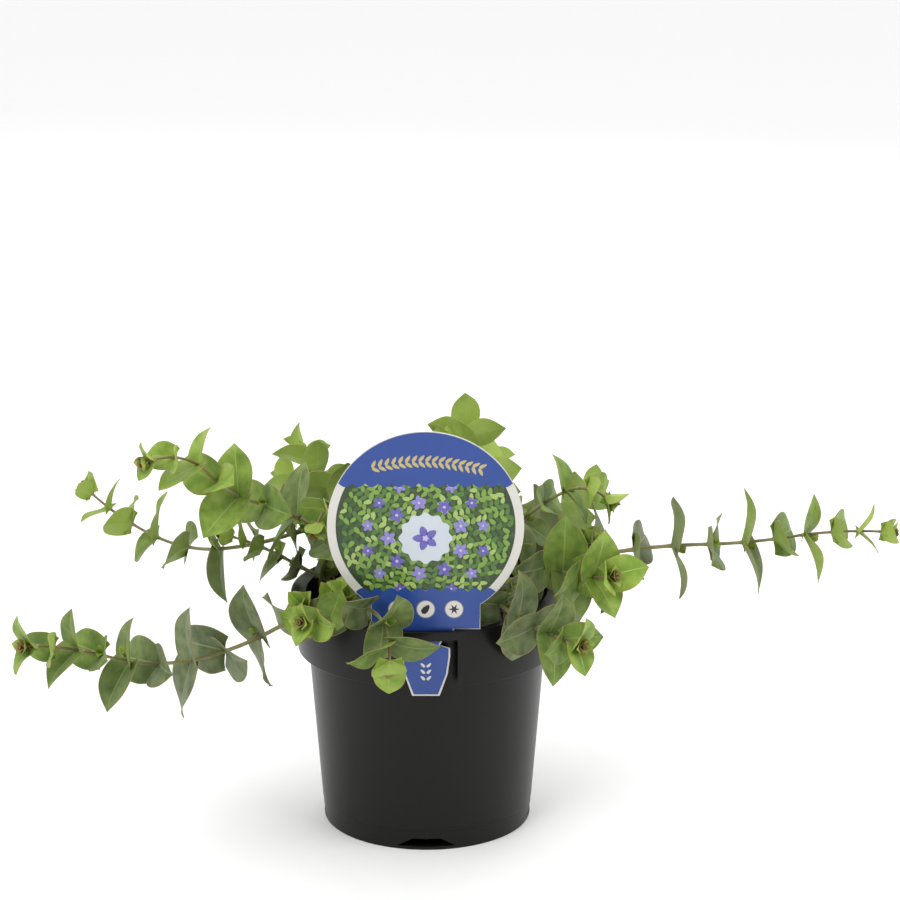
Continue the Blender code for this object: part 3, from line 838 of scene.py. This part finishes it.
trees = {name: tree_of(thing) for name, thing in nodes.items()}
piles = {age: Pile() for age in AGES}
placed = skipped = 0
for shoot in SHOOTS:
    own = (f"foliage_{shoot.name}", f"bough_{shoot.name}")
    around = [tree for name, tree in trees.items() if name not in own]
    route = routes[shoot.name]
    for index, along, share in pair_shares(shoot):
        spot, direction = place_on(route, share)
        size = (shoot.leaf + (shoot.tip - shoot.leaf) * along**2.2) * MM
        for half in (0, 1):
            draw = random.Random(f"{shoot.name} {index} {half}")
            roll = math.radians(shoot.roll + 90 * index + 180 * half + draw.uniform(-9, 9))
            lean = math.radians(12 + 34 * along**1.5 + draw.uniform(-8, 8))
            twist = math.radians(draw.uniform(-14, 14))
            length = size * draw.uniform(0.9, 1.06)
            droop, cup = draw.uniform(-0.02, 0.2), draw.uniform(0.08, 0.4)
            bends = (draw.uniform(-1, 1), draw.uniform(-0.1, 0.1), draw.uniform(-0.6, 0.6))
            for turn, shrink in LEAF_TRIES:
                place = leaf_place(spot, direction, roll + math.radians(turn), lean, twist)
                points, faces, tones = leaf_grid(length * shrink, droop, cup, bends)
                points = [place @ Vector(point) for point in points]
                room = BVHTree.FromPolygons(points, faces)
                if any(room.overlap(tree) for tree in around):
                    continue
                piles[age_of(shoot, along, draw)].add(points, faces, tones)
                placed += 1
                break
            else:
                skipped += 1
print("leaves placed:", placed, "skipped:", skipped)

# %% [markdown]
# ## Buds and sprouts
# Every shoot ends in a bud of tiny leaves that still stand together and are tinged with red. Short
# side sprouts stand between leaf and stem, and on the old wood in the pot, where they fill the
# middle of the plant. They are leaves of the same mesh, only small and upright.

# %% End buds
BUD_LEAVES = ((0, 54, 8.5), (1, 68, 7), (2, 80, 5))
BUD_STEP = 0.8 * MM
UNBENT = (0, 0, 0)


def small_blade(spot, way, roll, lean, size):
    """Points, faces and tones of one small leaf, its lean in degrees and its size in millimetres."""
    place = leaf_place(spot, way, roll, math.radians(lean), 0)
    points, faces, tones = leaf_grid(size * MM, 0.02, 0.55, UNBENT, SMALL_GRID)
    return [place @ Vector(point) for point in points], faces, tones


for shoot in SHOOTS:
    spot, direction = place_on(routes[shoot.name], 1)
    for layer, lean, size in BUD_LEAVES:
        for half in (0, 1):
            roll = math.radians(shoot.roll + 90 * (shoot.pairs + layer) + 180 * half)
            base = spot + direction * layer * BUD_STEP
            piles["bud" if layer else "young"].add(*small_blade(base, direction, roll, lean, size))

# %% Side sprouts
SPROUT_CHANCE, SPROUT_LAST = 0.28, 0.8
SPROUT_STEM, PAIR_GAP = 0.5 * MM, 4 * MM
BASAL_REACHES = (0.5, 0.74, 0.95)
sprout_stems = Pile()
hard = [trees[name] for name in ("pot", "potting_soil", "tag")]


def sprout(draw, route, share, roll, pairs, size):
    """A short stem that leaves the route's stem at a slant, with a leaf pair at each step."""
    spot, direction = place_on(route, share)
    side = direction.cross(Vector((0, 0, 1))).normalized()
    outward = side * math.cos(roll) + side.cross(direction) * math.sin(roll)
    way = (outward + direction * 1.2 + Vector((0, 0, 0.5))).normalized()
    path = [spot + way * PAIR_GAP * step for step in range(pairs + 1)]
    blades = []
    for pair in range(1, pairs + 1):
        for half in (0, 1):
            turn = roll + math.pi / 2 * pair + math.pi * half + draw.uniform(-0.2, 0.2)
            share = pair / pairs
            blade = small_blade(path[pair], way, turn, 24 + 40 * share, size * (1 - 0.2 * share))
            blades.append(("young" if pair == pairs else "fresh", blade))
    rooms = [BVHTree.FromPolygons(points, faces) for _, (points, faces, _) in blades]
    if any(room.overlap(tree) for room in rooms for tree in hard):
        return
    points, faces = tube(path, 0, 1, (SPROUT_STEM, 0.7 * SPROUT_STEM), (), PAIR_GAP * pairs)
    sprout_stems.add(points, faces, [0] * len(faces))
    for age, blade in blades:
        piles[age].add(*blade)


for shoot in SHOOTS:
    route = routes[shoot.name]
    for index, along, share in pair_shares(shoot):
        draw = random.Random(f"{shoot.name} sprout {index}")
        if draw.random() < SPROUT_CHANCE and along < SPROUT_LAST:
            roll = math.radians(shoot.roll + 90 * index + 180 * draw.choice((0, 1)))
            sprout(draw, route, share, roll, 1, draw.uniform(5, 8))
    draw = random.Random(f"{shoot.name} basal")
    for reach in BASAL_REACHES:
        roll = math.pi / 2 + draw.uniform(-0.9, 0.9)
        sprout(draw, route, shoot.bare * reach, roll, draw.choice((2, 3)), draw.uniform(9, 14))
side_stems = sprout_stems.piece("sprout_stems", [stem_skin])
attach(side_stems, "root")
print("sprout stem faces:", len(side_stems.data.polygons))

# %% Leaf pieces
for age, finishes in AGES.items():
    leaves = piles[age].piece(f"{age}_leaves", finishes)
    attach(leaves, "root")
    print(age, "leaf faces:", len(leaves.data.polygons))

# %% [markdown]
# ## The tag
# The tag is a white card with a picture printed on it. Print has no thickness to speak of, but a
# flat picture needs an image, and an image is data rather than making. So each colour area is its
# own thin sheet of ink, cut to shape and laid a fiftieth of a millimetre over the last. The design
# is our own: a round wreath of leaves and open flowers, a gold garland and three plain signs.

# %% Card
TAG_FRONT, TAG_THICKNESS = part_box("tag")[0].y, 0.8 * MM
DISC_RADIUS, DISC_CENTRE = 50 * MM, 182 * MM
PANEL_HALF, NECK_HALF, SHOULDER = 27.9 * MM, 14.5 * MM, 127.3 * MM
STAKE = ((9.4, 122.5), (7.2, 118.6), (12.5, 116.8), (12.5, 112.5), (11.2, 103), (7.1, 91))
INK = 0.02 * MM
CORNER = math.asin(math.sqrt(DISC_RADIUS**2 - PANEL_HALF**2) / DISC_RADIUS)


def arc(radius, start, stop, steps):
    """Points on a circle about the disc's centre, by angle in radians."""
    turns = [start + (stop - start) * i / steps for i in range(steps + 1)]
    return [(radius * math.cos(a), DISC_CENTRE + radius * math.sin(a)) for a in turns]


def mirrored(points):
    """The same points on the other side of the tag's middle line, in reverse order."""
    return [(-x, z) for x, z in reversed(points)]


def tag_outline():
    right = [(x * MM, z * MM) for x, z in reversed(STAKE)]
    right += [(NECK_HALF, WINDOW_TOP + 2 * MM), (NECK_HALF, SHOULDER), (PANEL_HALF, SHOULDER)]
    return right + arc(DISC_RADIUS, -CORNER, math.pi + CORNER, 120) + mirrored(right)


def sheet_of(name, outlines, depth, thickness, materials, tones=None):
    """Flat closed plates from XZ outlines, their backs at a depth in front of Y = TAG_FRONT."""
    shape = bmesh.new()
    for number, outline in enumerate(outlines):
        verts = [shape.verts.new((x, TAG_FRONT - depth, z)) for x, z in outline]
        face = shape.faces.new(verts)
        face.material_index = tones[number] if tones else 0
        face.normal_update()
        if face.normal.y > 0:
            face.normal_flip()
    bmesh.ops.triangulate(shape, faces=shape.faces)
    pushed = bmesh.ops.extrude_face_region(shape, geom=list(shape.faces), use_keep_orig=True)
    moved = [item for item in pushed["geom"] if isinstance(item, bmesh.types.BMVert)]
    bmesh.ops.translate(shape, verts=moved, vec=(0, -thickness, 0))
    bmesh.ops.recalc_face_normals(shape, faces=shape.faces)
    mesh = bpy.data.meshes.new(name)
    shape.to_mesh(mesh)
    shape.free()
    for material in materials:
        mesh.materials.append(material)
    thing = bpy.data.objects.new(name, mesh)
    bpy.context.scene.collection.objects.link(thing)
    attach(thing, "root")
    return thing


def print_ink(name, tone, other=None):
    return finish_material(name, tone, other or tone, 0.34, 40, 1.2, 1200, 0.00001)


white = print_ink("tag_white", srgb(216, 213, 207), srgb(208, 205, 199))
blue = print_ink("ink_blue", srgb(32, 64, 138), srgb(40, 74, 148))
card = sheet_of("tag_card", [tag_outline()], -TAG_THICKNESS, TAG_THICKNESS, [white])
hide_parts("tag")


# %% Blue fields with scalloped edges
PICTURE = 45.6 * MM
EDGE = 0.4 * MM
BAND_FOOT, FIELD_TOP = 205 * MM, 147.5 * MM
GROUND, LEAVES, FLOWERS, FIELDS, SIGNS = 0, 3 * INK, 10 * INK, 13 * INK, 14 * INK
STAKE_EDGE, STAKE_FOOT = 0.9, STAKE[-1][1]


def scallops(left, right, height, rise, count):
    """A row of small arches from left to right; a negative rise hangs them down."""
    points = []
    for i in range(12 * count + 1):
        share = i / (12 * count)
        arch = abs(math.sin(math.pi * count * share))
        points.append((left + (right - left) * share, height + rise * arch))
    return points


def disc_turn(height):
    return math.asin((height - DISC_CENTRE) / (DISC_RADIUS - EDGE))


top_arc = arc(DISC_RADIUS - EDGE, disc_turn(BAND_FOOT), math.pi - disc_turn(BAND_FOOT), 70)
band = top_arc + scallops(top_arc[-1][0], top_arc[0][0], BAND_FOOT, -2 * MM, 13)[1:-1]
low_right = arc(DISC_RADIUS - EDGE, -CORNER, disc_turn(FIELD_TOP), 8)
field = [(PANEL_HALF - EDGE, SHOULDER + EDGE)] + low_right
field += scallops(low_right[-1][0], -low_right[-1][0], FIELD_TOP, 2 * MM, 10)[1:-1]
field += mirrored(low_right) + [(-PANEL_HALF + EDGE, SHOULDER + EDGE)]
stake = []
for x, z in reversed(STAKE):
    stake.append(((x - STAKE_EDGE) * MM, (z + (STAKE_EDGE if z == STAKE_FOOT else 0)) * MM))
neck = NECK_HALF - STAKE_EDGE * MM
stake += [(neck, WINDOW_TOP + 2 * MM), (neck, SHOULDER + EDGE)]
stake += mirrored(stake)
sheet_of("print_blue", [band, field, stake], FIELDS, INK, [blue])

# %% [markdown]
# The wreath is laid like tiles: rings of small pointed leaves that lean left and right in turn.
# Neighbours lie at different heights, so no two sheets share a face, which would print as dark
# specks. Open flowers of five petals are set on the leaves in two rings round a pale middle.

# %% Wreath
WREATH_CENTRE, WREATH_RINGS, RING_GAP = 176 * MM, 13, 3
MIDDLE = 13 * MM


def small_leaf(x, z, size, turn, slim):
    """Eight points round a pointed oval, whose width is a share of its size."""
    points = []
    cos, sin = math.cos(turn), math.sin(turn)
    for i in range(8):
        angle = math.tau * i / 8
        along, across = math.cos(angle) * size / 2, math.sin(angle) * size * slim / 2
        across *= 1 - 0.35 * math.cos(angle)
        points.append((x + along * cos - across * sin, z + along * sin + across * cos))
    return points


def in_picture(points):
    return all(math.hypot(x, z - DISC_CENTRE) < PICTURE - 0.3 * MM for x, z in points)


def round_spot(radius, turn):
    return radius * math.cos(turn), WREATH_CENTRE + radius * math.sin(turn)


deep_green = print_ink("ink_green_deep", srgb(44, 66, 34))
greens = [
    print_ink("ink_green_dark", srgb(60, 88, 40)),
    print_ink("ink_green_mid", srgb(82, 118, 50)),
    print_ink("ink_green_light", srgb(122, 156, 66)),
    print_ink("ink_green_pale", srgb(160, 184, 102)),
]
sheet_of("print_ground", [arc(PICTURE, 0, math.tau, 90)[:-1]], GROUND, INK, [deep_green])
draw = random.Random(12)
levels = [[] for _ in range(6)]
for ring in range(WREATH_RINGS):
    radius = MIDDLE + (1 + RING_GAP * ring) * MM
    count = 2 * round(math.tau * radius / (6.4 * MM))
    for index in range(count):
        turn = math.tau * (index + 0.25 * ring) / count
        x, z = round_spot(radius, turn)
        lean = turn + math.pi / 2 + (0.7 if index % 2 else -0.7) + draw.uniform(-0.2, 0.2)
        leaf = small_leaf(x, z, draw.uniform(3.6, 4.8) * MM, lean, 0.56)
        tone = draw.choice((0, 1, 1, 2, 2, 3))
        if in_picture(leaf):
            levels[ring % 3 * 2 + index % 2].append((leaf, tone))
for height, level in enumerate(levels):
    shapes, tones = zip(*level)
    sheet_of(f"print_leaves_{height}", shapes, LEAVES + height * INK, INK, greens, tones)
print("printed leaves:", sum(len(level) for level in levels))

# %% Open flowers
lilacs = [
    print_ink("ink_lilac", srgb(140, 132, 200)),
    print_ink("ink_violet", srgb(104, 96, 176)),
    print_ink("ink_pale_lilac", srgb(186, 180, 226)),
]
pale_grey = print_ink("ink_pale_grey", srgb(206, 212, 218), srgb(192, 202, 212))
PETALS, MIDDLE_LOBES = 5, 12
FLOWER_RINGS = ((9, 19, 8), (14, 30, 6.4), (1, 0, 13))
petals, petal_tones, hearts = [], [], []


def circle_turns(steps):
    return [math.tau * i / steps for i in range(steps)]


def open_flower(x, z, size, turn, tone):
    """Petals round a heart, all in one plane, without overlap."""
    for petal in range(PETALS):
        way = turn + math.tau * petal / PETALS
        spot = (x + size * 0.3 * math.cos(way), z + size * 0.3 * math.sin(way))
        petals.append(small_leaf(*spot, size * 0.44, way, 0.72))
        petal_tones.append(tone)
    heart = 0.1 * size
    hearts.append([(x + heart * math.cos(a), z + heart * math.sin(a)) for a in circle_turns(10)])


lobes = [round_spot(MIDDLE * (1 + 0.06 * math.cos(MIDDLE_LOBES * a)), a) for a in circle_turns(96)]
sheet_of("print_middle", [lobes], FLOWERS, INK, [pale_grey])
for count, radius, size in FLOWER_RINGS:
    for index in range(count):
        turn = math.tau * (index + 0.5) / count
        x, z = round_spot(radius * MM, turn)
        tone = index % 2 if radius else 1
        if math.hypot(x, z - DISC_CENTRE) < PICTURE - 4 * MM:
            open_flower(x, z, size * MM, turn, tone)
sheet_of("print_petals", petals, FLOWERS + INK, INK, lilacs, petal_tones)
sheet_of("print_hearts", hearts, FLOWERS + 2 * INK, 0.5 * INK, lilacs[2:])
print("printed flowers:", len(hearts))

# %% [markdown]
# Signs and ornament fill the places of words. Three white discs hold a drop, a leaf and a star,
# a garland of gold leaves crosses the blue band, and a small white sprig marks the stake.

# %% Signs and garland
SIGN_X, SIGN_Z, SIGN_RADIUS, SIGN_RIM = (-14.5, 0, 14.5), 138.1, 4.9, 0.45
STAR_POINTS = 6
GARLAND_HALF, GARLAND_Z, GARLAND_RISE, GARLAND_STEPS = 27, 213, 3.4, 17
SPRIG_HEIGHTS = (100, 103.5, 107)


def ring_of(x, z, radius):
    turns = circle_turns(28)
    return [((x + radius * math.cos(a)) * MM, (z + radius * math.sin(a)) * MM) for a in turns]


def sign_at(place, points):
    """Moves a sign's points, in millimetres about its own middle, to one of the discs."""
    return [((SIGN_X[place] + x) * MM, (SIGN_Z + z) * MM) for x, z in points]


grey = print_ink("ink_grey", srgb(120, 124, 132))
black = print_ink("ink_black", srgb(36, 36, 40))
gold = print_ink("ink_gold", srgb(176, 158, 96), srgb(196, 182, 128))
rings = [ring_of(x, SIGN_Z, SIGN_RADIUS) for x in SIGN_X]
discs = [ring_of(x, SIGN_Z, SIGN_RADIUS - SIGN_RIM) for x in SIGN_X]
sheet_of("print_sign_rings", rings, SIGNS, INK, [grey])
sheet_of("print_sign_discs", discs, SIGNS + INK, INK, [white])
drop = [(0, 2.6)]
for a in circle_turns(24)[1:]:
    drop.append((1.8 * math.sin(a) * math.sin(a / 2) ** 1.2, 2.6 * math.cos(a)))
star = []
for i, a in enumerate(circle_turns(2 * STAR_POINTS)):
    reach = 1.1 + 1.9 * (i % 2)
    star.append((reach * math.sin(a), reach * math.cos(a)))
leaf_sign = small_leaf(SIGN_X[1] * MM, SIGN_Z * MM, 6 * MM, 0.9, 0.55)
signs = [sign_at(0, drop), leaf_sign, sign_at(2, star)]
sheet_of("print_signs", signs, SIGNS + 2 * INK, INK, [black])

for side, level in ((1, "high"), (-1, "low")):
    garland = []
    for step in range(GARLAND_STEPS):
        share = step / (GARLAND_STEPS - 1)
        x = GARLAND_HALF * (2 * share - 1)
        z = GARLAND_Z + GARLAND_RISE * math.sin(math.pi * share)
        turn = 0.35 * math.cos(math.pi * share) + side * 0.8
        spot = ((x + 2.3 * math.cos(turn)) * MM, (z + 2.3 * math.sin(turn)) * MM)
        garland.append(small_leaf(*spot, 4.4 * MM, turn, 0.4))
    sheet_of(f"print_garland_{level}", garland, SIGNS + (1 + side) * INK / 2, INK, [gold])
sprig = []
for z in SPRIG_HEIGHTS:
    for side in (1, -1):
        turn = math.pi / 2 - side * 0.8
        sprig.append(small_leaf(side * 1.6 * MM, (z + 0.8) * MM, 3.2 * MM, turn, 0.45))
sheet_of("print_sprig", sprig, SIGNS, INK, [white])
print("signs:", len(signs), "sprig leaves:", len(sprig))
